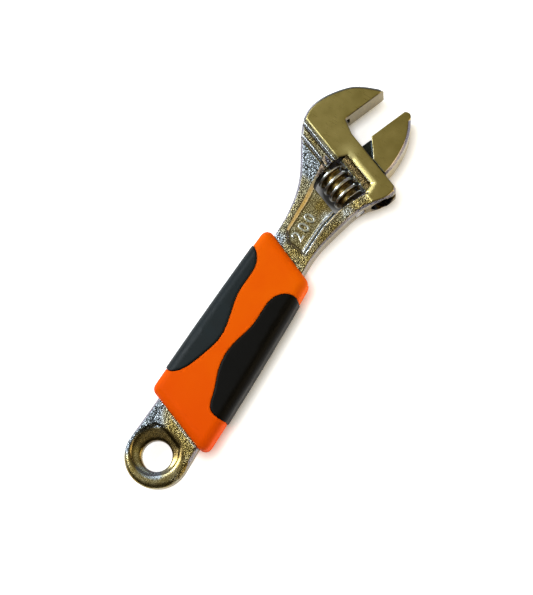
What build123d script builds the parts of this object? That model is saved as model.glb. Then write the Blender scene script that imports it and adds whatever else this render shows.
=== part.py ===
from build123d import *
import os
from math import acos, atan2, cos, hypot, pi, radians, sin

# An adjustable wrench of the 200 mm class with a moulded grip. X runs along the handle towards the
# head, Y towards the fixed jaw and Z through the thickness. The origin is the centre of the hanging
# hole at mid-thickness. All dimensions are in millimetres.

os.makedirs("parts", exist_ok=True)

# Head frame: its x axis is the opening direction of the jaw, its y axis runs along the jaw faces.
HEAD_TILT = 20.5
HEAD_X, HEAD_Y = 161.2, -3.0
HEAD_HALF = 6.25
OPENING = 13.6
FACE_S = -15.95
FACE_TIP_T = 23.2
JAW_FACE_S = FACE_S + OPENING

# Ends of the straight handle edges, at the neck.
NECK_HIGH = (106.0, 9.7)
NECK_LOW = (104.0, -10.2)

# Thickness of the forging, as half values along the handle.
STEP_HALF = 5.65
NECK_HALF = 5.1
WAIST_HALF = 4.4
BAR_HALF = 3.5
EDGE_CHAMFER = 1.1
TOP_T = 40.0
STEP_TOP_T = -13.6
STEP_TOP_RUN = 2.0
STEP_LOW_T = -18.6
STEP_LOW_RUN = 1.4
NECK_END_T = -34.0
WAIST_T = -55.0
BAR_T = -66.0
END_T = -180.0

# Hanging eye.
EYE_RADIUS = 14.05
HOLE_RADIUS = 6.6
HOLE_CHAMFER = 0.5
DISH_DEPTH = 0.9
DISH_TAPER = 45
DISH_LIP = [(4.2, -8.0), (7.8, -6.2), (9.6, -1.0), (11.2, 4.0), (11.0, 7.4), (7.6, 9.6)]

# Neck panel, recessed on both faces.
PANEL_FLOOR = 3.6
PANEL_TAPER = 50
PANEL = [
    (113, 5.4),
    (128, 5.6),
    (147, 7.6),
    (143, -11.2),
    (134, -7.2),
    (122, -5.0),
    (108, -4.9),
    (109, 2.6),
]

# Jaw plate, web, shank and rail.
JAW_TOP_T = 24.0
JAW_HEEL_T = 6.0
JAW_TOE_S = 6.7
JAW_BACK_S = 15.4
JAW_CHAMFER = 1.2
WEB_TOP_T = 5.4
WEB_REACH = 12.0
SHANK_T = -7.8
SHANK_RADIUS = 5.15
BORE_CLEARANCE = 0.06
WEB_HALF = 2.42
SLOT_HALF = 2.5
SLOT_START_S = -17.2
SLOT_TOP_T = 4.0
RAIL_GAP = 0.1
SHANK_END_S = 17.0

# Rack and worm.
PITCH = 3.8
THREAD_S = 2.2
RACK_ROOT_T = -10.9
RACK_GAP_TIP = 2.4
RACK_GAP_ROOT = 1.4
WORM_T = -18.3
WORM_START_S = -0.9
WORM_LENGTH = 15.0
WORM_CREST = 6.8
WORM_PITCH_RADIUS = 6.2
WORM_ROOT = 4.9
CREST_WIDTH = 1.0
THREAD_ROOT_WIDTH = 1.9
WORM_BORE = 2.06
THREAD_BURIED = 0.4

# Worm pin and spring.
PIN_RADIUS = 2.0
PIN_START_S = -10.0
PIN_HEAD_RADIUS = 2.7
PIN_HEAD_START_S = 16.1
PIN_BEVELS = (0.3, 0.4)
PIN_END_S = 21.0
SLOT_WIDTH = 0.8
SLOT_DEPTH = 1.2
WIRE_RADIUS = 0.3
SPRING_RADIUS = 2.68
SPRING_START_S = -2.4
SPRING_TURNS = 5
SPRING_GAP = 0.15
SEAT_RADIUS = 3.3
SEAT_DEPTH = 4.0

# Window for the worm, through the head.
WINDOW_LEFT_S = -3.5
WINDOW_RIGHT_S = 15.9
WINDOW = [
    (-2.0, -7.5),
    (14.6, -7.5),
    (WINDOW_RIGHT_S, -11.0),
    (15.5, -27.7),
    (0.0, -27.7),
    (-1.8, -25.0),
    (WINDOW_LEFT_S, -18.5),
    (WINDOW_LEFT_S, -11.0),
]

# Grip.
GRIP_HALF = 7.75
GRIP_EDGE = 4.2
GRIP_CORNER = 3.2
INSERT_PROUD = 0.45
INSERT_DEPTH = 2.2

GRIP_CORNERS = [(22.6, 17.3), (109.4, 14.4), (97.6, -14.8), (10.8, -17.4)]
GRIP_BELLY_HIGH = (60, 16.4)
GRIP_BELLY_LOW = (52, -16.7)
INSERT_LEFT = [
    (99.0, 18.5),
    (97.6, 12.6),
    (93, 9.0),
    (80, 8.4),
    (70, 6.6),
    (57, 4.2),
    (45, 7.0),
    (37, 10.3),
    (33.4, 14.0),
    (34.4, 18.5),
]
INSERT_RIGHT = [
    (85.4, -18.5),
    (88.3, -10.5),
    (85, -6.7),
    (70, -5.0),
    (56, -2.1),
    (44, -3.3),
    (35, -6.8),
    (28.6, -9.6),
    (27.2, -14.0),
    (28.2, -18.5),
]

tilt = radians(HEAD_TILT)
along = Vector(cos(tilt), -sin(tilt), 0)
opening = Vector(-sin(tilt), -cos(tilt), 0)
head = Plane(origin=(HEAD_X, HEAD_Y, 0), x_dir=opening, z_dir=(0, 0, 1))
side = Plane(origin=(HEAD_X, HEAD_Y, 0), x_dir=along, z_dir=opening)


def at_head(s, t):
    """World point of a place in the head frame, at mid-thickness."""
    return head.from_local_coords(Vector(s, t, 0))


def across(s):
    """Plane across the opening direction: its x axis runs along the jaws, its y axis is Z."""
    return side.offset(s)


# Forged body ---------------------------------------------------------------------------------
def eye_tangent(point, turn):
    """Where a line from the point touches the round end of the eye."""
    bearing = atan2(point[1], point[0]) + turn * acos(EYE_RADIUS / hypot(*point))
    return EYE_RADIUS * cos(bearing), EYE_RADIUS * sin(bearing)


with BuildSketch() as outline:
    with BuildLine():
        eye_high = Line(eye_tangent(NECK_HIGH, 1), NECK_HIGH)
        back = Spline(
            NECK_HIGH,
            (120, 10.2),
            (135, 14.2),
            (150, 23.0),
            (165, 27.7),
            (180, 20.0),
            (188.3, 6.2),
            tangents=[eye_high % 1, (0.35, -1)],
        )
        tip = Line(back @ 1, at_head(FACE_S, FACE_TIP_T))
        face = Line(tip @ 1, at_head(FACE_S, 2.6))
        throat = ThreePointArc(face @ 1, at_head(FACE_S + 0.3, 1.95), at_head(FACE_S + 0.95, 1.7))
        slope = Line(throat @ 1, at_head(-8.8, 0))
        rail = Line(slope @ 1, at_head(22.9, 0))
        corner = Polyline(rail @ 1, at_head(24.2, -1.2), at_head(24.4, -3.6))
        eye_low = Line(NECK_LOW, eye_tangent(NECK_LOW, -1))
        flank = Spline(
            corner @ 1,
            (140, -18.4),
            (127, -13.6),
            (115, -10.9),
            NECK_LOW,
            tangents=[corner % 1, eye_low % 0],
        )
        ThreePointArc(eye_low @ 1, (-EYE_RADIUS, 0), eye_high @ 0)
    make_face()


def both_faces(depth):
    """Planes at one depth from mid-thickness, each facing out of the wrench."""
    return Plane.XY.offset(depth), Plane(origin=(0, 0, -depth), x_dir=(1, 0, 0), z_dir=(0, 0, -1))


def is_outer_edge(edge):
    """True for the rim of a flat face, apart from the rail and the jaw face, which stay sharp."""
    place = head.to_local_coords(edge.center(CenterOf.MASS))
    on_face = place.X > FACE_S - 1.0 and place.Y > 0.5
    on_rail = -16 < place.X < 23.2 and place.Y > -1
    return not on_face and not on_rail


def slab(half, t_low, t_high):
    """The outline at one thickness with its outside edges broken, cut to a band across the head."""
    with BuildPart() as piece:
        add(outline.sketch)
        extrude(amount=half, both=True)
        chamfer(piece.faces().sort_by(Axis.Z)[-1].edges().filter_by(is_outer_edge), EDGE_CHAMFER)
        chamfer(piece.faces().sort_by(Axis.Z)[0].edges().filter_by(is_outer_edge), EDGE_CHAMFER)
        with BuildSketch(head.offset(-HEAD_HALF)):
            with Locations((0, (t_low + t_high) / 2)):
                Rectangle(160, t_high - t_low)
        extrude(amount=2 * HEAD_HALF, mode=Mode.INTERSECT)
    return piece.part


with BuildPart() as body:
    add(slab(HEAD_HALF, STEP_TOP_T, TOP_T))
    add(slab(STEP_HALF, STEP_LOW_T, STEP_TOP_T))
    add(slab(NECK_HALF, BAR_T, STEP_LOW_T))
    add(slab(BAR_HALF, END_T, BAR_T))

    # The forging thins in sloped steps that run parallel to the opening direction.
    upper = [
        (TOP_T, HEAD_HALF),
        (STEP_TOP_T + STEP_TOP_RUN, HEAD_HALF),
        (STEP_TOP_T, STEP_HALF),
        (STEP_LOW_T + STEP_LOW_RUN, STEP_HALF),
        (STEP_LOW_T, NECK_HALF),
        (NECK_END_T, NECK_HALF),
        (WAIST_T, WAIST_HALF),
        (BAR_T, BAR_HALF),
        (END_T, BAR_HALF),
    ]
    with BuildSketch(side):
        with BuildLine():
            Polyline(*upper, *[(t, -z) for t, z in reversed(upper)], close=True)
        make_face()
    extrude(amount=90, both=True, mode=Mode.INTERSECT)

    # Hanging eye: a shallow dish on each face, ending in a slanted lip, and a hole with round edges.
    for plane in both_faces(BAR_HALF - DISH_DEPTH):
        with BuildSketch(plane):
            with BuildLine():
                dish = ThreePointArc(DISH_LIP[-1], (-8.6, 0.4), DISH_LIP[0])
                Polyline(*DISH_LIP)
            make_face()
        extrude(amount=2 * DISH_DEPTH, taper=-DISH_TAPER, mode=Mode.SUBTRACT)
    with BuildSketch():
        Circle(HOLE_RADIUS)
    extrude(amount=HEAD_HALF, both=True, mode=Mode.SUBTRACT)
    circles = body.edges().filter_by(GeomType.CIRCLE)
    chamfer(circles.filter_by(lambda edge: abs(edge.radius - HOLE_RADIUS) < 0.01), HOLE_CHAMFER)

    # Neck panel: a sunk web between two rims, on both faces, open to the window.
    for plane in both_faces(PANEL_FLOOR):
        with BuildSketch(plane):
            with BuildLine():
                Polyline(*PANEL, close=True)
            make_face()
        extrude(amount=3, taper=-PANEL_TAPER, mode=Mode.SUBTRACT)

    # Window for the worm, right through.
    with BuildSketch(head.offset(-2 * HEAD_HALF)):
        with BuildLine():
            Polyline(*WINDOW, close=True)
        make_face()
    extrude(amount=4 * HEAD_HALF, mode=Mode.SUBTRACT)

    # Bore for the jaw's shank and the slot for its web, both open on the far side of the head.
    with BuildSketch(across(SLOT_START_S)):
        with Locations((SHANK_T, 0)):
            Circle(SHANK_RADIUS + BORE_CLEARANCE)
    extrude(amount=60, mode=Mode.SUBTRACT)
    with BuildSketch(across(SLOT_START_S)):
        with Locations(((SHANK_T + SLOT_TOP_T) / 2, 0)):
            Rectangle(SLOT_TOP_T - SHANK_T, 2 * SLOT_HALF)
    extrude(amount=60, mode=Mode.SUBTRACT)

    # Holes for the worm pin: a plain end on one side, a threaded one with its screw head on the other.
    with BuildSketch(across(PIN_START_S)):
        with Locations((WORM_T, 0)):
            Circle(PIN_RADIUS)
    extrude(amount=20, mode=Mode.SUBTRACT)
    with BuildSketch(across(WINDOW_RIGHT_S - 1)):
        with Locations((WORM_T, 0)):
            Circle(PIN_HEAD_RADIUS)
    extrude(amount=20, mode=Mode.SUBTRACT)
body.part.label = "body"
export_step(body.part, "parts/body.step")

# Movable jaw: plate, web in the rail slot, round shank with its rack ----------------------------
with BuildPart() as movable_jaw:
    with BuildSketch(head):
        with BuildLine():
            foot = Polyline(
                (JAW_FACE_S, JAW_TOP_T),
                (JAW_FACE_S, JAW_HEEL_T),
                (JAW_TOE_S, RAIL_GAP),
                (JAW_BACK_S, RAIL_GAP),
            )
            curve = Spline(
                foot @ 1,
                (13.4, 8.4),
                (9.5, 16.4),
                (1.4, 24.9),
                tangents=[(-0.08, 1), (-0.8, 0.6)],
            )
            ThreePointArc(curve @ 1, (-1.3, 25.3), foot @ 0)
        make_face()
    extrude(amount=HEAD_HALF, both=True)
    chamfer(movable_jaw.faces().sort_by(Axis.Z)[-1].edges().filter_by(GeomType.BSPLINE), JAW_CHAMFER)
    chamfer(movable_jaw.faces().sort_by(Axis.Z)[0].edges().filter_by(GeomType.BSPLINE), JAW_CHAMFER)
    with BuildSketch(across(JAW_FACE_S)):
        with Locations((SHANK_T, 0)):
            Circle(SHANK_RADIUS)
        with Locations(((SHANK_T - RAIL_GAP) / 2, 0)):
            Rectangle(-SHANK_T - RAIL_GAP, 2 * WEB_HALF)
    extrude(amount=SHANK_END_S - JAW_FACE_S)
    with BuildSketch(across(JAW_FACE_S)):
        with Locations((WEB_TOP_T / 2 - RAIL_GAP, 0)):
            Rectangle(WEB_TOP_T, 2 * WEB_HALF)
    extrude(amount=WEB_REACH)

    # Rack gaps, slanted to follow the worm's thread.
    lead_angle = PITCH / (2 * pi * WORM_PITCH_RADIUS)
    for gap in range(-1, 5):
        middle = THREAD_S + gap * PITCH
        with BuildSketch(head):
            with BuildLine():
                Polyline(
                    (middle - RACK_GAP_ROOT / 2, RACK_ROOT_T),
                    (middle + RACK_GAP_ROOT / 2, RACK_ROOT_T),
                    (middle + RACK_GAP_TIP / 2, SHANK_T - SHANK_RADIUS),
                    (middle + RACK_GAP_TIP / 2, SHANK_T - SHANK_RADIUS - 1),
                    (middle - RACK_GAP_TIP / 2, SHANK_T - SHANK_RADIUS - 1),
                    (middle - RACK_GAP_TIP / 2, SHANK_T - SHANK_RADIUS),
                    close=True,
                )
            make_face()
        slant = Vector(0, 0, 1) + opening * lead_angle
        extrude(amount=HEAD_HALF, both=True, dir=slant, mode=Mode.SUBTRACT)
movable_jaw.part.label = "movable_jaw"
export_step(movable_jaw.part, "parts/movable_jaw.step")

# Worm: a single-start right-hand thread on a hub, bored for its pin ------------------------------
worm_end = WORM_START_S + WORM_LENGTH
thread_start = THREAD_S - 1.5 * PITCH
thread_length = worm_end + PITCH - thread_start
flank_slope = (THREAD_ROOT_WIDTH - CREST_WIDTH) / 2 / (WORM_CREST - WORM_ROOT)
foot_half = THREAD_ROOT_WIDTH / 2 + flank_slope * THREAD_BURIED
with BuildPart() as worm_knurl:
    # The helix starts on the side away from the rack, half a turn from THREAD_S.
    with BuildLine():
        path = Helix(PITCH, thread_length, WORM_ROOT, at_head(thread_start, WORM_T), opening)
    with BuildSketch(head):
        with BuildLine():
            Polyline(
                (thread_start - foot_half, WORM_T - WORM_ROOT + THREAD_BURIED),
                (thread_start + foot_half, WORM_T - WORM_ROOT + THREAD_BURIED),
                (thread_start + CREST_WIDTH / 2, WORM_T - WORM_CREST),
                (thread_start - CREST_WIDTH / 2, WORM_T - WORM_CREST),
                close=True,
            )
        make_face()
    sweep(path=path, is_frenet=True)
    with BuildSketch(across(thread_start)):
        with Locations((WORM_T, 0)):
            Circle(WORM_ROOT)
    extrude(amount=thread_length)
    with BuildSketch(across(WORM_START_S)):
        with Locations((WORM_T, 0)):
            Circle(WORM_CREST + 1)
    extrude(amount=WORM_LENGTH, mode=Mode.INTERSECT)
    with BuildSketch(across(WORM_START_S)):
        with Locations((WORM_T, 0)):
            Circle(WORM_BORE)
    extrude(amount=WORM_LENGTH, mode=Mode.SUBTRACT)
    with BuildSketch(across(WORM_START_S)):
        with Locations((WORM_T, 0)):
            Circle(SEAT_RADIUS)
    extrude(amount=SEAT_DEPTH, mode=Mode.SUBTRACT)
worm_knurl.part.label = "worm_knurl"
export_step(worm_knurl.part, "parts/worm_knurl.step")

# Worm pin: plain axle, screwed into the head at its slotted end ----------------------------------
with BuildPart() as worm_pin:
    with BuildSketch(across(PIN_START_S)):
        with Locations((WORM_T, 0)):
            Circle(PIN_RADIUS)
    extrude(amount=PIN_END_S - PIN_START_S)
    with BuildSketch(across(PIN_HEAD_START_S)):
        with Locations((WORM_T, 0)):
            Circle(PIN_HEAD_RADIUS)
    extrude(amount=PIN_END_S - PIN_HEAD_START_S)
    pin_axis = Axis(at_head(0, 0), opening)
    chamfer(worm_pin.edges().filter_by(GeomType.CIRCLE).group_by(pin_axis)[-1], PIN_BEVELS[0])
    chamfer(worm_pin.edges().filter_by(GeomType.CIRCLE).group_by(pin_axis)[0], PIN_BEVELS[1])
    with BuildSketch(across(PIN_END_S - SLOT_DEPTH)):
        with Locations((WORM_T, 0)):
            Rectangle(3 * PIN_HEAD_RADIUS, SLOT_WIDTH)
    extrude(amount=2 * SLOT_DEPTH, mode=Mode.SUBTRACT)
worm_pin.part.label = "worm_pin"
export_step(worm_pin.part, "parts/worm_pin.step")

# Worm spring, on the pin inside the worm's seat ---------------------------------------------------
seat_end = WORM_START_S + SEAT_DEPTH
spring_length = seat_end - WIRE_RADIUS - SPRING_GAP - SPRING_START_S
with BuildPart() as worm_spring:
    with BuildLine():
        spring_pitch = spring_length / SPRING_TURNS
        coil = Helix(spring_pitch, spring_length, SPRING_RADIUS, at_head(SPRING_START_S, WORM_T), opening)
    with BuildSketch(head):
        with Locations((SPRING_START_S, WORM_T - SPRING_RADIUS)):
            Circle(WIRE_RADIUS)
    sweep(path=coil, is_frenet=True)
worm_spring.part.label = "worm_spring"
export_step(worm_spring.part, "parts/worm_spring.step")


# Grip ---------------------------------------------------------------------------------------------
def grip_shell(grow):
    """The grip's outer shape, grown by a distance, or shrunk where it is negative."""
    with BuildPart() as shell:
        with BuildSketch():
            with BuildLine():
                ThreePointArc(GRIP_CORNERS[0], GRIP_BELLY_HIGH, GRIP_CORNERS[1])
                Line(GRIP_CORNERS[1], GRIP_CORNERS[2])
                ThreePointArc(GRIP_CORNERS[2], GRIP_BELLY_LOW, GRIP_CORNERS[3])
                Line(GRIP_CORNERS[3], GRIP_CORNERS[0])
            make_face()
            fillet(vertices(), GRIP_CORNER)
            offset(amount=grow)
        extrude(amount=GRIP_HALF + grow, both=True)
        fillet(shell.faces().sort_by(Axis.Z)[-1].edges(), GRIP_EDGE + grow)
        fillet(shell.faces().sort_by(Axis.Z)[0].edges(), GRIP_EDGE + grow)
    return shell.part


def insert_block(points):
    """A block over one side of the grip, inside the insert's smooth edge line."""
    with BuildPart() as block:
        with BuildSketch():
            with BuildLine():
                edge = Spline(*points)
                start, end = edge @ 0, edge @ 1
                Polyline(end, (end.X, 2 * end.Y), (start.X, 2 * start.Y), start)
            make_face()
        extrude(amount=2 * GRIP_HALF, both=True)
    return block.part


grip_skin = grip_shell(0)
insert_skin = grip_shell(INSERT_PROUD)
insert_seat = grip_shell(-INSERT_DEPTH)

with BuildPart() as grip_insert_left:
    add(insert_skin)
    add(insert_block(INSERT_LEFT), mode=Mode.INTERSECT)
    add(insert_seat, mode=Mode.SUBTRACT)
grip_insert_left.part.label = "grip_insert_left"
export_step(grip_insert_left.part, "parts/grip_insert_left.step")

with BuildPart() as grip_insert_right:
    add(insert_skin)
    add(insert_block(INSERT_RIGHT), mode=Mode.INTERSECT)
    add(insert_seat, mode=Mode.SUBTRACT)
grip_insert_right.part.label = "grip_insert_right"
export_step(grip_insert_right.part, "parts/grip_insert_right.step")

with BuildPart() as grip_sleeve:
    add(grip_skin)
    add(grip_insert_left.part, mode=Mode.SUBTRACT)
    add(grip_insert_right.part, mode=Mode.SUBTRACT)
    add(body.part, mode=Mode.SUBTRACT)
grip_sleeve.part.label = "grip_sleeve"
export_step(grip_sleeve.part, "parts/grip_sleeve.step")
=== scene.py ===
import math
from types import SimpleNamespace

import bmesh
import bpy
import numpy as np
from mathutils import Matrix, Vector


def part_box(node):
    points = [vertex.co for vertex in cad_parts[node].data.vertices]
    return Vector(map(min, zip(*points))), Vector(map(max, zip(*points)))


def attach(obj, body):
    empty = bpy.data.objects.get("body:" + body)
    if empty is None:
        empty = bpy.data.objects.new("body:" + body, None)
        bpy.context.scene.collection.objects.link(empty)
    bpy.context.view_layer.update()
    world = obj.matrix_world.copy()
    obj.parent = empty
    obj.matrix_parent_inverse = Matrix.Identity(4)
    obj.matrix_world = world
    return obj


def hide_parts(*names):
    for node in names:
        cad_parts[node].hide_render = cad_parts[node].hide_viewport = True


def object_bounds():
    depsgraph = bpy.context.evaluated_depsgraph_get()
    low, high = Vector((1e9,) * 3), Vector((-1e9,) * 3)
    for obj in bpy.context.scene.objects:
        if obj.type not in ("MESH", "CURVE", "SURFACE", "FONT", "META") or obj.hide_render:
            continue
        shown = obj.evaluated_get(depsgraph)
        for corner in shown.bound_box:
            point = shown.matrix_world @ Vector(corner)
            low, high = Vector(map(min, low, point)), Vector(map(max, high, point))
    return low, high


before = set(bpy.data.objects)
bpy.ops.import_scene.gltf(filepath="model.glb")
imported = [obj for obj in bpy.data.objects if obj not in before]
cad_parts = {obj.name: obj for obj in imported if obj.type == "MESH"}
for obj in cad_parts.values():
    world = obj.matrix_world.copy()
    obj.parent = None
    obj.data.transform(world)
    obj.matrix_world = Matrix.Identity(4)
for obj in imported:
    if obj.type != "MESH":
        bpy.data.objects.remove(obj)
cad_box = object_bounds()

# Everything below is in metres, in the frame of the CAD model: X along the handle towards the head,
# Y towards the fixed jaw, Z through the thickness, with the centre of the hanging hole at the origin.
MM = 0.001
HEAD_TILT = math.radians(20.5)
HEAD_ORIGIN = (161.2, -3.0)
HEAD_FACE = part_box("movable_jaw")[1].z / MM
WEB_FACE = 3.6
WEB_TOP = 5.4
WORM_T = -18.3
TEETH_T = -10.9
RIDGES_T = (-13.3, -17.4)
TOP_GROOVE_T = -11.9
FACE_END_T = -12.2
MARK_PLACE = (117.5, 0.2)
BODY_GRID, GRIP_GRID, JAW_GRID, WORM_GRID, MARK_GRID = 0.3, 0.4, 0.22, 0.15, 0.12
WINDOW_EDGE = [(-3.5, -18.5), (-3.5, -11.0), (-2.0, -7.5), (14.6, -7.5), (15.9, -11.0)]
PANEL_FAR_EDGE = [(108.0, -4.9), (122.0, -5.0), (134.0, -7.2), (143.0, -11.2)]
SLEEVE_END = [(10.8, -17.4), (22.6, 17.3)]
SHANK_T = -7.8
BORE_REACH = 5.3
FLOOR_Z = cad_box[0].z


def new_object(name, mesh):
    obj = bpy.data.objects.new(name, mesh)
    bpy.context.scene.collection.objects.link(obj)
    return obj


def to_head(points):
    """Columns s and t of points in mm: s in the opening direction, t along the jaws."""
    x = points[:, 0] - HEAD_ORIGIN[0]
    y = points[:, 1] - HEAD_ORIGIN[1]
    sin, cos = math.sin(HEAD_TILT), math.cos(HEAD_TILT)
    return -sin * x - cos * y, cos * x - sin * y


# Geometry ------------------------------------------------------------------------------------


def smoothstep(low, high, value):
    ratio = np.clip((value - low) / (high - low), 0, 1)
    return ratio * ratio * (3 - 2 * ratio)


def lattice(cell, seed):
    """A repeatable random value from -1 to 1 for each integer cell."""
    mixed = cell[:, 0] * 73856093 ^ cell[:, 1] * 19349663 ^ cell[:, 2] * 83492791 ^ seed * 2654435761
    mixed = (mixed ^ (mixed >> 13)) * 1274126177 & 0xFFFFFFFF
    mixed = mixed ^ (mixed >> 16)
    return (mixed & 0xFFFF) / 32767.5 - 1


def noise(points, size, seed):
    """Smooth value noise with features of one size."""
    place = points / size + 4096
    base = np.floor(place).astype(np.int64)
    part = place - base
    part = part * part * (3 - 2 * part)
    total = np.zeros(len(points))
    for corner in np.ndindex(2, 2, 2):
        step = np.array(corner)
        weight = np.prod(np.where(step, part, 1 - part), axis=1)
        total += weight * lattice(base + step, seed)
    return total


def coordinates(mesh):
    co = np.empty(len(mesh.vertices) * 3, np.float32)
    mesh.vertices.foreach_get("co", co)
    return co.reshape(-1, 3).astype(float) / MM


def normals(mesh):
    co = np.empty(len(mesh.vertices) * 3, np.float32)
    mesh.vertex_normals.foreach_get("vector", co)
    return co.reshape(-1, 3).astype(float)


def set_coordinates(mesh, points):
    mesh.vertices.foreach_set("co", (points * MM).astype(np.float32).ravel())
    mesh.update()


def evaluated(obj):
    """The object's mesh with its modifiers applied."""
    graph = bpy.context.evaluated_depsgraph_get()
    mesh = bpy.data.meshes.new_from_object(obj.evaluated_get(graph))
    old = obj.data
    obj.modifiers.clear()
    obj.data = mesh
    bpy.data.meshes.remove(old)
    return mesh


def even_grid(obj, voxel, smooth):
    """Rebuilds the object's surface on an even grid, in mm, and softens its edges."""
    grid = obj.modifiers.new("grid", "REMESH")
    grid.mode = "VOXEL"
    grid.voxel_size = voxel * MM
    even = obj.modifiers.new("even", "SMOOTH")
    even.factor = 0.5
    even.iterations = smooth
    mesh = evaluated(obj)
    mesh.materials.clear()
    mesh.shade_smooth()
    return mesh


def remeshed(name, node, voxel, smooth, turn=0.0):
    """A dense, even copy of a CAD node, with its grid turned by an angle."""
    build = bmesh.new()
    build.from_mesh(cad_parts[node].data)
    bmesh.ops.remove_doubles(build, verts=build.verts, dist=1e-6)
    mesh = bpy.data.meshes.new(name)
    build.to_mesh(mesh)
    build.free()
    mesh.transform(Matrix.Rotation(turn, 4, "Z"))
    obj = new_object(name, mesh)
    mesh = even_grid(obj, voxel, smooth)
    mesh.transform(Matrix.Rotation(-turn, 4, "Z"))
    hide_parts(node)
    return obj


def set_attribute(mesh, name, values):
    """A value from 0 to 1 at each vertex, for the materials to read."""
    layer = mesh.attributes.new(name, "FLOAT", "POINT")
    layer.data.foreach_set("value", np.clip(values, 0, 1).astype(np.float32))


def size_mark():
    """The raised size mark on the web, the wrench's length class in millimetres."""
    curve = bpy.data.curves.new("size_mark", "FONT")
    curve.body = "200"
    curve.size = 7.4 * MM
    curve.space_character = 1.3
    curve.offset = 0.12 * MM
    curve.extrude = 0.6 * MM
    curve.align_x = "CENTER"
    curve.align_y = "CENTER"
    text = new_object("mark_outline", curve)
    mesh = bpy.data.meshes.new_from_object(text)
    bpy.data.objects.remove(text)
    mesh.transform(Matrix.Translation(Vector((*MARK_PLACE, WEB_FACE + 0.05)) * MM))
    obj = new_object("size_mark", mesh)
    even_grid(obj, MARK_GRID, 2)
    return obj


def segment_distance(u, v, first, second):
    """Distance of points (u, v) from a segment."""
    du, dv = second[0] - first[0], second[1] - first[1]
    along = np.clip(((u - first[0]) * du + (v - first[1]) * dv) / (du * du + dv * dv), 0, 1)
    return np.hypot(u - first[0] - along * du, v - first[1] - along * dv)


def path_distance(u, v, path):
    pairs = zip(path, path[1:])
    return np.min([segment_distance(u, v, first, second) for first, second in pairs], axis=0)


def hump(value, middle, width):
    return np.exp(-(((value - middle) / width) ** 2))


def neighbours_mean(mesh, points, passes, weight):
    """Points pulled towards the mean of their neighbours, by a weight at each vertex."""
    edges = np.empty(len(mesh.edges) * 2, np.int32)
    mesh.edges.foreach_get("vertices", edges)
    first, second = edges[0::2], edges[1::2]
    count = np.bincount(edges, minlength=len(points)).astype(float)
    for _ in range(passes):
        total = np.zeros_like(points)
        for axis in range(3):
            total[:, axis] = np.bincount(first, points[second, axis], len(points))
            total[:, axis] += np.bincount(second, points[first, axis], len(points))
        points = points + (total / count[:, None] - points) * weight[:, None]
    return points


def inside_box(points):
    """Points kept within the box of the CAD model."""
    low, high = np.array(cad_box[0]) / MM, np.array(cad_box[1]) / MM
    return np.clip(points, low + 0.01, high - 0.01)


def away_from_axis(points, across):
    """Unit vectors away from the axis of the shank's bore, at a distance across it along the jaws."""
    reach = np.maximum(np.hypot(across, points[:, 2]), 0.1)
    sin, cos = math.sin(HEAD_TILT), math.cos(HEAD_TILT)
    return np.column_stack((across * cos, -across * sin, points[:, 2])) / reach[:, None]


def places(points):
    """Where the points of the body lie, in the frame of the handle and in that of the head."""
    s, t = to_head(points)
    x, y = points[:, 0].copy(), points[:, 1].copy()
    return SimpleNamespace(s=s, t=t, x=x, y=y, radius=np.hypot(x, y), side=np.sign(points[:, 2]))


def body_lines(at, face_on):
    """Where the raised and worn lines of the forging run."""
    far_edge = path_distance(at.x, at.y, PANEL_FAR_EDGE)
    beyond = at.y < np.interp(at.x, *zip(*PANEL_FAR_EDGE))
    panel = smoothstep(106, 110, at.x) * (1 - smoothstep(136, 139, at.x)) * (at.y < -2)
    sleeve_end = segment_distance(at.x, at.y, *SLEEVE_END)
    eye = (at.radius < 26) * (at.y < 4) * (face_on > 0.6)
    return SimpleNamespace(
        beside=(at.s < -2) * (face_on > 0.6),
        along=panel * (face_on > 0.5),
        outward=np.where(beyond, far_edge, -far_edge),
        window=path_distance(at.s, at.t, WINDOW_EDGE),
        lip=eye * hump(sleeve_end, 0.7, 0.4),
    )


def line_relief(at, line, face_on, height):
    """Height in mm of the ridges beside the window, those along the panel, and the window's worn edge."""
    ridges = sum(0.38 * hump(at.t, top, 0.35) - 0.30 * hump(at.t, top - 0.8, 0.35) for top in RIDGES_T)
    ridges -= 0.25 * hump(at.t, TOP_GROOVE_T, 0.35)
    rims = 0.45 * hump(line.outward, 0.1, 0.45) + 0.40 * hump(line.outward, 1.9, 0.45)
    rims -= 0.45 * hump(line.outward, 1.0, 0.4)
    worn = -0.6 * np.clip(1 - line.window / 2.8, 0, 1) ** 1.6 * (0.4 + 0.6 * smoothstep(-2.5, 1.5, at.s))
    worn *= (height > HEAD_FACE - 0.4) * (face_on > 0.5)
    return line.beside * ridges + line.along * rims + worn + 0.22 * line.lip


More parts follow.
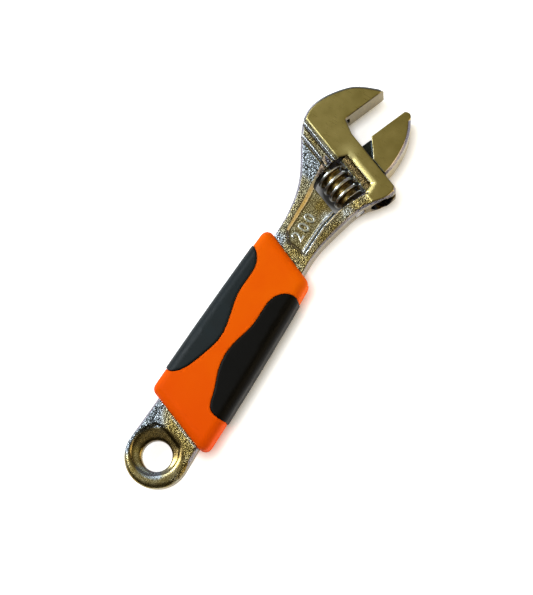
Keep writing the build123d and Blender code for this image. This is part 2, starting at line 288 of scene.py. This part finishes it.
def body_zones(at, line, face_on, height):
    """Zones of the surface, from 0 to 1: ground faces, the dish, sloped walls, and the forged skin."""
    flat = smoothstep(0.78, 0.9, face_on) * smoothstep(HEAD_FACE - 1.2, HEAD_FACE - 0.95, height)
    flat *= (at.t > FACE_END_T) * (at.radius > 30)
    rail = smoothstep(-1.0, -0.2, at.t) * smoothstep(-17.5, -16.2, at.s) * (1 - face_on)
    polish = np.maximum(flat, rail)
    dish = 1 - smoothstep(11.6, 12.6, at.radius) * smoothstep(-9, -4, at.x)
    slope = smoothstep(0.9, 0.8, face_on) * (np.abs(at.y) < 8.4) * (at.x > 104) * (at.t < -24)
    mouth = (at.s > 16.2) * (np.abs(at.t - SHANK_T) < BORE_REACH) * (height < BORE_REACH)
    edge = (1 - face_on) * (height > 1.5) * (at.radius > 12)
    web = (height < WEB_FACE + 0.35) * (at.x > 104) * (at.t < -26)
    lines = line.beside * np.maximum(hump(at.t, -13.5, 1.2), hump(at.t, -18.0, 1.2))
    lines = np.maximum(lines, line.along * hump(line.outward, 0.9, 1.6))
    rough = (1 - polish) * (1 - 0.85 * dish) * (1 - 0.8 * edge) * (1 - 0.5 * web)
    rough *= (1 - 0.8 * slope) * (1 - 0.8 * lines) * (1 - mouth)
    return SimpleNamespace(polish=polish, dish=dish, slope=slope, mouth=mouth, rough=rough)


def paint_body(mesh, at, line, zone, face_on, height):
    """What the materials read: painted shade in recesses and on the dish's upper side, golden and cool
    painted reflection tints by the way a surface faces, painted highlights on crests and spots, and a
    painted lilac reflection on the broken edges.
    """
    s, t, x, y = at.s, at.t, at.x, at.y
    handle = at.radius > 30
    leftward = 0.85 * y - 0.53 * x
    upward = 0.53 * y + 0.85 * x

    # Painted shade: the dish's upper side, the window's recess, the groove lines, the bore's mouth, the
    # chamfer at the fixed jaw's end, the panel's far slope, the jaws' inner faces, the side faces, the
    # eye's face and a strip beyond the panel are darkened.
    lip = smoothstep(13.0, 11.0, at.radius) * smoothstep(-1.0, 3.0, x + 0.3 * y)
    window_shade = (s > -4.5) * (s < 17) * (t > -29) * (t < -7) * (face_on < 0.75) * (height < 6.0)
    jaw_wall_shade = (t > 0.3) * (face_on < 0.4)
    far_slope_shade = zone.slope * (y > 0) * (0.55 + 0.35 * smoothstep(126, 142, x))
    groove_shade = line.beside * (hump(t, TOP_GROOVE_T, 0.5) + hump(t, -14.1, 0.4) + hump(t, -18.3, 0.4))
    groove_shade = np.maximum(groove_shade, line.along * hump(line.outward, 0.95, 0.45))
    side_wall_shade = (1 - face_on) * smoothstep(0.45, 0.25, face_on) * (at.radius > 14)
    # The chamfer mask carries the painted lilac reflection, and at the fixed jaw's end painted shade.
    chamfer = smoothstep(0.35, 0.5, face_on) * smoothstep(0.93, 0.85, face_on) * (height > 1.5)
    chamfer = chamfer * (at.radius > 14) * (np.abs(y) > 5) * (1 - zone.slope) * (1 - window_shade)
    strip = line.along * smoothstep(2.6, 3.6, line.outward) * smoothstep(132, 124, x)
    tip_shade = chamfer * smoothstep(166, 174, x) * (y > 0)
    eye_shade = smoothstep(-5, 2, leftward) * ~handle * (1 - zone.dish) * (face_on > 0.8)
    # These masks mix a dark tone over the chrome as painted shade.
    painted_shade = [0.9 * lip, 0.9 * window_shade, 0.9 * groove_shade, 0.95 * zone.mouth, tip_shade, far_slope_shade]
    painted_shade += [0.75 * jaw_wall_shade, 0.6 * side_wall_shade, 0.4 * eye_shade, 0.4 * strip]

    # Painted reflection tint: the handle's side at low y, the flanks by the window and panel, the eye's
    # side away from the key light and the dish, except its bottom, are tinted golden as reflections of
    # the golden fill light.
    flank = (t > -19) * (t < -11.5) * (s < 0) + smoothstep(141, 133, x) * smoothstep(106, 114, x)
    warm_reflection = np.maximum(smoothstep(8, -1, y), 0.75 * flank) * handle
    low_wall = smoothstep(-3, -6, upward) * smoothstep(10.8, 9.8, at.radius)
    warm_reflection += smoothstep(1, -7, leftward) * ~handle + zone.dish * (1 - low_wall)
    # Painted highlights: the ridge crests and panel rims, the lip at the sleeve's end and two spots on
    # the panel are coloured blue-white.
    crests = line.beside * (hump(t, -13.2, 0.4) + hump(t, -17.3, 0.4) + 0.7 * hump(t, -12.0, 0.3))
    crests += line.along * (hump(line.outward, 0.0, 0.5) + hump(line.outward, 2.0, 0.5))
    # Painted reflection tint: the cool mask keeps chamfers, crests and panel rims blue-white, as
    # reflections of the cool key light.
    cool_reflection = np.maximum.reduce([chamfer, line.along * hump(line.outward, 1.0, 1.4), np.clip(crests, 0, 1)])
    highlight_spots = 0.8 * hump(np.hypot(x - 126.5, y + 5.2), 0, 2.2)
    highlight_spots += 0.7 * hump(np.hypot(x - 133, y + 12), 0, 2.0)
    # Painted highlight: a golden glow along the window's edge and around its upper left corner.
    corner = hump(np.hypot(s + 3, t + 6), 0, 3.5)

    set_attribute(mesh, "polish", zone.polish)
    set_attribute(mesh, "rough", zone.rough)
    set_attribute(mesh, "painted_shade", np.maximum.reduce(painted_shade))
    set_attribute(mesh, "warm_reflection", (warm_reflection + side_wall_shade) * (1 - cool_reflection))
    set_attribute(mesh, "shine", 0.8 * crests + 0.3 * line.lip + highlight_spots * (face_on > 0.6))
    set_attribute(mesh, "bright", 0.1 * hump(line.window, 0, 3.0) * (t > -10) + 0.6 * corner)
    set_attribute(mesh, "band", chamfer * (1 - tip_shade))


def shape_body():
    """The forging: polished faces stay flat, forged ones get the dents and grain of scale and plate."""
    obj = remeshed("forged_body", "body", BODY_GRID, 1, HEAD_TILT)
    mesh = obj.data
    points = coordinates(mesh)
    at = places(points)

    # Dish, rim and panel slopes are smooth where the hammer or grinder has been.
    eye = 1 - smoothstep(12.5, 14.0, at.radius)
    panel = smoothstep(-30, -34, at.t) * (at.x > 103) * (np.abs(at.y) < 9)
    points = neighbours_mean(mesh, points, 24, 0.5 * eye)
    points = neighbours_mean(mesh, points, 3, 0.5 * panel)
    set_coordinates(mesh, points)

    face_on = np.abs(normals(mesh)[:, 2])
    line = body_lines(at, face_on)
    points[:, 2] += at.side * line_relief(at, line, face_on, np.abs(points[:, 2]))
    set_coordinates(mesh, points)

    # The shank's bore is opened a little, so that the jaw slides clear of it, and forged skin is dented.
    normal = normals(mesh)
    face_on = np.abs(normal[:, 2])
    height = np.abs(points[:, 2])
    zone = body_zones(at, line, face_on, height)
    across = at.t - SHANK_T
    in_bore = (np.hypot(across, points[:, 2]) < BORE_REACH + 0.15) * (at.s > -17.4) * (at.t > -13.2)
    points += 0.12 * in_bore[:, None] * away_from_axis(points, across)
    dents = 0.015 * noise(points, 1.6, 3) + 0.02 * noise(points, 5.0, 5) + 0.03 * noise(points, 0.7, 9)
    points = inside_box(points + normal * (zone.rough * dents - 0.01)[:, None])
    set_coordinates(mesh, points)

    paint_body(mesh, at, line, zone, face_on, height)
    return obj


def shape_grip(name, node):
    """A moulded grip part, its edges slightly rounded."""
    return remeshed(name, node, GRIP_GRID, 4)


def shape_jaw():
    """The sliding jaw: ground cheeks and rail, with its edges broken."""
    obj = remeshed("sliding_jaw", "movable_jaw", JAW_GRID, 2, HEAD_TILT)
    mesh = obj.data
    points = coordinates(mesh)
    s, t = to_head(points)
    face_on = np.abs(normals(mesh)[:, 2])
    # Painted shade: the shank, the bevelled faces below the cheek and a thin line at t = 0.1 are
    # darkened.
    shank = (t < -0.5) * (t > -10.5) * 1.0
    below_face = (face_on < 0.97) + (np.abs(points[:, 2]) < HEAD_FACE - 0.4)
    bevel = (t > -0.5) * (t < WEB_TOP + 1) * below_face * (s < 5)
    heel_shade = hump(t, 0.1, 0.4)
    teeth = (t < TEETH_T) * 1.0
    set_attribute(mesh, "painted_shade", np.maximum.reduce([shank, bevel, heel_shade]) * (1 - teeth))
    outer = smoothstep(0.93, 0.85, face_on) * (s > 2) * (t > 0.3)
    set_attribute(mesh, "polish", (1 - shank) * (1 - teeth) * (1 - outer))
    # Painted highlight: the rack teeth are coloured blue-white.
    set_attribute(mesh, "shine", teeth)
    # Painted reflection: the lilac grey on the jaw's outer chamfers.
    set_attribute(mesh, "band", outer * (face_on > 0.4))
    set_attribute(mesh, "bright", np.zeros(len(points)))
    set_attribute(mesh, "rough", 0.6 * shank)
    # Painted reflection tint: the shank and the outer side faces are tinted golden.
    set_attribute(mesh, "warm_reflection", np.maximum(0.9 * shank, outer * (face_on < 0.4)))
    return obj


def shape_worm():
    """The knurled worm, its thread crests slightly rounded."""
    obj = remeshed("thumb_worm", "worm_knurl", WORM_GRID, 2, HEAD_TILT)
    points = coordinates(obj.data)
    _, t = to_head(points)
    reach = np.hypot(t - WORM_T, points[:, 2])
    # The roots are marked for the worm's painted shade.
    set_attribute(obj.data, "root", smoothstep(6.5, 5.9, reach))
    return obj


# Materials -------------------------------------------------------------------------------------


class Nodes:
    """Short calls for building the node tree of a material or a world."""

    def __init__(self, owner):
        owner.use_nodes = True
        self.owner = owner
        self.tree = owner.node_tree
        self.shader = self.tree.nodes.get("Principled BSDF")
        self.place = self.tree.nodes.new("ShaderNodeTexCoord").outputs["Object"]

    def link(self, source, socket):
        self.tree.links.new(source, socket)

    def put(self, kind, **values):
        node = self.tree.nodes.new(kind)
        for key, value in values.items():
            setattr(node, key, value)
        return node

    def texture(self, size, detail=4.0, rough=0.6, stretch=(1, 1, 1)):
        """Noise with features of a size in mm."""
        scaled = self.put("ShaderNodeMapping")
        scaled.inputs["Scale"].default_value = [1 / (size * MM * axis) for axis in stretch]
        self.link(self.place, scaled.inputs["Vector"])
        node = self.put("ShaderNodeTexNoise")
        node.inputs["Scale"].default_value = 1
        node.inputs["Detail"].default_value = detail
        node.inputs["Roughness"].default_value = rough
        self.link(scaled.outputs[0], node.inputs["Vector"])
        return node.outputs["Fac"]

    def ramp(self, source, *stops):
        """Stops are (position, grey or colour)."""
        node = self.put("ShaderNodeValToRGB")
        band = node.color_ramp
        while len(band.elements) < len(stops):
            band.elements.new(0.5)
        for element, (position, colour) in zip(band.elements, stops):
            element.position = position
            if isinstance(colour, (int, float)):
                colour = (colour, colour, colour)
            element.color = (*colour, 1)
        self.link(source, node.inputs["Fac"])
        return node.outputs["Color"]

    def feed(self, value, socket):
        """Links a socket to another, or sets it to a number or a colour."""
        if isinstance(value, bpy.types.NodeSocket):
            self.link(value, socket)
        elif isinstance(value, tuple):
            socket.default_value = (*value, 1)
        else:
            socket.default_value = value

    def mix(self, factor, first, second, blend="MIX"):
        node = self.put("ShaderNodeMix", data_type="RGBA", blend_type=blend)
        self.feed(factor, node.inputs[0])
        self.feed(first, node.inputs[6])
        self.feed(second, node.inputs[7])
        return node.outputs[2]

    def math(self, operation, *values):
        node = self.put("ShaderNodeMath", operation=operation)
        for value, socket in zip(values, node.inputs):
            self.feed(value, socket)
        return node.outputs[0]

    def distance_from(self, place):
        """Distance from a place, in metres."""
        node = self.put("ShaderNodeVectorMath", operation="DISTANCE")
        self.link(self.place, node.inputs[0])
        node.inputs[1].default_value = place
        return node.outputs["Value"]

    def split(self, vector):
        node = self.put("ShaderNodeSeparateXYZ")
        self.link(vector, node.inputs[0])
        return node.outputs

    def attribute(self, name):
        return self.put("ShaderNodeAttribute", attribute_name=name).outputs["Fac"]

    def bump(self, height, distance, strength=1.0, after=None):
        """Relief with a depth in mm."""
        node = self.put("ShaderNodeBump")
        node.inputs["Strength"].default_value = strength
        node.inputs["Distance"].default_value = distance * MM
        self.link(height, node.inputs["Height"])
        if after is not None:
            self.link(after, node.inputs["Normal"])
        return node.outputs["Normal"]

    def finish(self, color=None, roughness=None, normal=None, **values):
        for key, source in (("Base Color", color), ("Roughness", roughness), ("Normal", normal)):
            if source is not None:
                self.link(source, self.shader.inputs[key])
        for key, value in values.items():
            self.shader.inputs[key.replace("_", " ")].default_value = value
        return self.owner


def material_nodes(name):
    return Nodes(bpy.data.materials.new(name))


def chrome_forging():
    """Satin chrome: brushed on the polished faces, grainy on the forged ones, with painted shade in the
    recesses, golden and cool painted reflection tints, painted highlights and a painted lilac reflection
    on chamfers.
    """
    n = material_nodes("chrome_forging")
    polish = n.attribute("polish")
    rough = n.attribute("rough")
    painted_shade = n.attribute("painted_shade")
    grain = n.texture(0.55, 4, 0.6)
    patches = n.texture(7, 3, 0.5)
    brushed = n.texture(1.0, 5, 0.7, stretch=(0.25, 6, 1))
    warm_reflection = n.math("MULTIPLY", n.attribute("warm_reflection"), n.math("MULTIPLY", patches, 1.6))
    fine_pits = n.ramp(n.texture(0.7, 3, 0.5), (0.42, 0.30), (0.54, 1.0))
    deep_pits = n.ramp(n.texture(1.0, 3, 0.5), (0.43, 0.15), (0.54, 1.0))
    pits = n.mix(n.attribute("warm_reflection"), deep_pits, fine_pits)
    # Painted reflection tint: blue-grey where the golden mask is low, gold where it is high.
    forged_tint = n.ramp(
        warm_reflection, (0.15, (0.40, 0.44, 0.48)), (0.45, (0.40, 0.36, 0.23)), (0.95, (0.34, 0.25, 0.08))
    )
    flat_tint = n.ramp(patches, (0.3, (0.42, 0.34, 0.12)), (0.7, (0.55, 0.45, 0.18)))
    forged_tint = n.mix(rough, forged_tint, pits, "MULTIPLY")
    # Painted reflection: a lilac grey on chamfers, standing in for their reflection of the pale
    # surroundings.
    forged_tint = n.mix(n.attribute("band"), forged_tint, (0.30, 0.285, 0.33))
    # Painted highlight: a blue-white colour where the body is marked to shine.
    forged_tint = n.mix(n.attribute("shine"), forged_tint, (0.80, 0.84, 0.86))
    # Painted highlight: a yellow glow on the polished face where the body is marked bright.
    flat_tint = n.mix(n.attribute("bright"), flat_tint, (0.95, 0.84, 0.42))
    color = n.mix(polish, forged_tint, flat_tint)
    # Painted shade: a dark blue-green tone on cool faces and a dark brownish tone on golden faces, mixed
    # in where the body is marked for painted shade.
    shade_noise = n.texture(0.9, 4, 0.6)
    teal_shade = n.ramp(shade_noise, (0.35, (0.018, 0.024, 0.026)), (0.65, (0.05, 0.06, 0.062)))
    brown_shade = n.ramp(shade_noise, (0.35, (0.035, 0.024, 0.010)), (0.65, (0.14, 0.09, 0.03)))
    shade_film = n.mix(n.attribute("warm_reflection"), teal_shade, brown_shade)
    color = n.mix(painted_shade, color, shade_film)
    forged_gloss = n.ramp(grain, (0.3, 0.20), (0.7, 0.34))
    flat_gloss = n.ramp(brushed, (0.3, 0.26), (0.7, 0.34))
    roughness = n.mix(polish, forged_gloss, flat_gloss)
    relief = n.bump(n.mix(rough, (0.5, 0.5, 0.5), grain), 0.28)
    relief = n.bump(n.mix(polish, (0.5, 0.5, 0.5), brushed), 0.008, after=relief)
    return n.finish(color, roughness, relief, Metallic=1.0)


def satin_steel(name, tint, low, high, relief):
    """Plain bright steel, its roughness ranging from low to high."""
    n = material_nodes(name)
    grain = n.texture(1.0, 5, 0.65)
    patches = n.texture(6, 3, 0.5)
    dark = tuple(0.85 * c for c in tint)
    color = n.ramp(patches, (0.3, dark), (0.7, tint))
    roughness = n.ramp(grain, (0.3, low), (0.7, high))
    return n.finish(color, roughness, n.bump(grain, relief), Metallic=1.0)


def worm_steel():
    """Bright turned steel, darker and brownish in the thread roots as painted shade."""
    n = material_nodes("worm_steel")
    root = n.attribute("root")
    grain = n.texture(0.7, 4, 0.6)
    root_shade = n.ramp(grain, (0.35, (0.05, 0.035, 0.012)), (0.65, (0.30, 0.20, 0.06)))
    bright = n.ramp(grain, (0.3, (0.70, 0.71, 0.68)), (0.7, (0.82, 0.82, 0.78)))
    roughness = n.ramp(root, (0.0, 0.30), (1.0, 0.42))
    return n.finish(n.mix(root, bright, root_shade), roughness, n.bump(grain, 0.02), Metallic=1.0)


def orange_plastic():
    """Moulded polypropylene with a faint orange-peel skin."""
    n = material_nodes("orange_plastic")
    skin = n.texture(0.7, 3, 0.5)
    patches = n.texture(14, 3, 0.5)
    color = n.ramp(patches, (0.3, (0.93, 0.118, 0.0)), (0.7, (0.97, 0.145, 0.0)))
    # Painted shade: the sleeve turns redder and darker towards the hanging hole's end.
    shaded_end = n.ramp(n.math("MULTIPLY", n.split(n.place)["X"], 10.0), (0.15, 1.0), (0.75, 0.0))
    color = n.mix(n.math("MULTIPLY", shaded_end, 0.8), color, (0.90, 0.078, 0.0))
    roughness = n.ramp(n.texture(3, 5, 0.6), (0.3, 0.50), (0.7, 0.62))
    return n.finish(color, roughness, n.bump(skin, 0.02), Specular_IOR_Level=0.03)


def black_rubber(name, tint, shine):
    """Soft rubber with a fine matt grain."""
    n = material_nodes(name)
    skin = n.texture(0.35, 3, 0.6)
    patches = n.texture(9, 4, 0.6)
    dark = tuple(0.55 * c for c in tint)
    color = n.ramp(patches, (0.3, dark), (0.7, tint))
    roughness = n.ramp(patches, (0.3, 0.42), (0.7, 0.58))
    return n.finish(color, roughness, n.bump(skin, 0.03), Specular_IOR_Level=shine)


def dress(obj, material):
    if obj.data.materials:
        for index in range(len(obj.data.materials)):
            obj.material_slots[index].material = material
    else:
        obj.data.materials.append(material)


# Pieces ------------------------------------------------------------------------------------------

forging = chrome_forging()
body = shape_body()
dress(body, forging)
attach(body, "handle")

mark = size_mark()
dress(mark, satin_steel("mark_chrome", (0.84, 0.88, 0.88), 0.22, 0.34, 0.02))
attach(mark, "handle")

# One black rubber in a lit and a shaded copy: the left insert is painted lighter and bluish as if lit by
# the key light, the right one darker and brownish as painted shade.
rubber_lit = black_rubber("rubber_lit_side", (0.007, 0.014, 0.017), 0.2)
brown_shade = black_rubber("rubber_shaded_side", (0.0022, 0.0014, 0.0004), 0.1)
GRIP = [
    ("sleeve", "grip_sleeve", orange_plastic(), "orange_plastic"),
    ("insert_left", "grip_insert_left", rubber_lit, "black_rubber"),
    ("insert_right", "grip_insert_right", brown_shade, "black_rubber"),
]
for name, node, material, slot in GRIP:
    piece = shape_grip(name, node)
    dress(piece, material)
    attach(piece, "handle")

jaw = shape_jaw()
dress(jaw, forging)
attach(jaw, "jaw")

worm = shape_worm()
dress(worm, worm_steel())
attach(worm, "worm")

dress(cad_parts["worm_pin"], satin_steel("pin_steel", (0.60, 0.60, 0.60), 0.25, 0.4, 0.01))
dress(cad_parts["worm_spring"], satin_steel("spring_steel", (0.50, 0.50, 0.52), 0.25, 0.4, 0.01))

# Stage -----------------------------------------------------------------------------------------

CAMERA_PLACE = Vector((-0.01265, -0.12782, 0.63284))
CAMERA_TARGET = Vector((0.08314, -0.00182, 0.0))
CAMERA_UP = Vector((0.82795, 0.51264, 0.22738))
FOCAL = 90.76
FLOOR_GLOW = 0.9


def make_camera():
    camera = bpy.data.objects.new("camera", bpy.data.cameras.new("camera"))
    bpy.context.scene.collection.objects.link(camera)
    back = (CAMERA_PLACE - CAMERA_TARGET).normalized()
    right = CAMERA_UP.cross(back).normalized()
    up = back.cross(right)
    turn = Matrix((right, up, back)).transposed().to_4x4()
    camera.matrix_world = Matrix.Translation(CAMERA_PLACE) @ turn
    camera.data.lens = FOCAL
    camera.data.sensor_width = 36
    bpy.context.scene.camera = camera
    return right, up


def make_floor():
    """White paper, with a painted pool of light glowing softly around the object, painted shadow where
    the object nearly touches it, and a dark painted shadow patch under the window.
    """
    mesh = bpy.data.meshes.new("floor")
    half = 1.5
    corners = [(-half, -half), (half, -half), (half, half), (-half, half)]
    mesh.from_pydata([(x, y, FLOOR_Z - 0.0002) for x, y in corners], [], [(0, 1, 2, 3)])
    floor = new_object("floor", mesh)
    n = material_nodes("paper")
    contact_shadow = n.put("ShaderNodeAmbientOcclusion")
    contact_shadow.inputs["Distance"].default_value = 0.005
    light_pool = n.ramp(n.distance_from(CAMERA_TARGET), (0.18, 1.0), (0.6, 0.25))
    glow = n.math("MULTIPLY", light_pool, contact_shadow.outputs["AO"])
    glow = n.math("MULTIPLY", glow, contact_shadow.outputs["AO"])
    # Painted shadow: a dark patch of floor under the window, where the glow is also cut.
    under_window = n.distance_from((0.143, -0.002, FLOOR_Z))
    window_shadow = n.ramp(under_window, (0.010, 0.03), (0.014, 1.0))
    glow = n.math("MULTIPLY", glow, window_shadow)
    n.link(n.math("MULTIPLY", glow, FLOOR_GLOW), n.shader.inputs["Emission Strength"])
    n.shader.inputs["Emission Color"].default_value = (1, 1, 1, 1)
    n.link(n.mix(window_shadow, (0.02, 0.02, 0.02), (0.9, 0.9, 0.9)), n.shader.inputs["Base Color"])
    n.shader.inputs["Roughness"].default_value = 0.9
    mesh.materials.append(n.owner)


def add_light(name, place, aim, size, power, color=(1, 1, 1)):
    lamp = bpy.data.lights.new(name, "AREA")
    lamp.shape = "RECTANGLE"
    lamp.size, lamp.size_y = size
    lamp.energy = power
    lamp.color = color
    obj = bpy.data.objects.new(name, lamp)
    bpy.context.scene.collection.objects.link(obj)
    obj.location = place
    obj.rotation_euler = (Vector(aim) - Vector(place)).to_track_quat("-Z", "Y").to_euler()


right, up = make_camera()
make_floor()
centre = CAMERA_TARGET

key = centre - right * 0.52 + up * 0.20 + Vector((0, 0, 0.52))
add_light("key", key, centre, (0.20, 0.40), 6.0, (0.86, 0.94, 1.0))
fill = centre + right * 0.62 - up * 0.12 + Vector((0, 0, 0.46))
add_light("fill", fill, centre, (0.3, 0.5), 1.8, (1.0, 0.80, 0.46))
rim = centre - right * 0.27 + up * 0.42 + Vector((0, 0, 0.50))
add_light("rim", rim, centre, (0.14, 0.22), 0.5, (0.84, 0.93, 1.0))
card = Vector((0.33, 0.25, 1.0))
add_light("card", card, centre, (1.0, 0.8), 0.55, (1.0, 0.90, 0.42))


def make_world():
    """A dim studio dome: brown behind the camera, pale lilac on the far side near the horizon."""
    world = bpy.data.worlds.new("studio")
    n = Nodes(world)
    direction = n.put("ShaderNodeTexCoord").outputs["Generated"]
    far = n.put("ShaderNodeVectorMath", operation="DOT_PRODUCT")
    n.link(direction, far.inputs[0])
    far.inputs[1].default_value = (up * 0.9 + right * 0.45).normalized()
    side = n.math("MULTIPLY_ADD", far.outputs["Value"], 0.5, 0.5)
    horizon = n.ramp(side, (0.35, (0.035, 0.025, 0.012)), (0.75, (0.46, 0.45, 0.52)))
    height = n.ramp(n.split(direction)["Z"], (0.15, 0.0), (0.55, 1.0))
    colour = n.mix(height, horizon, (0.045, 0.038, 0.020))
    background = n.tree.nodes["Background"]
    n.link(colour, background.inputs["Color"])
    background.inputs["Strength"].default_value = 1.0
    return world


bpy.context.scene.world = make_world()
bpy.context.scene.view_settings.view_transform = "Standard"
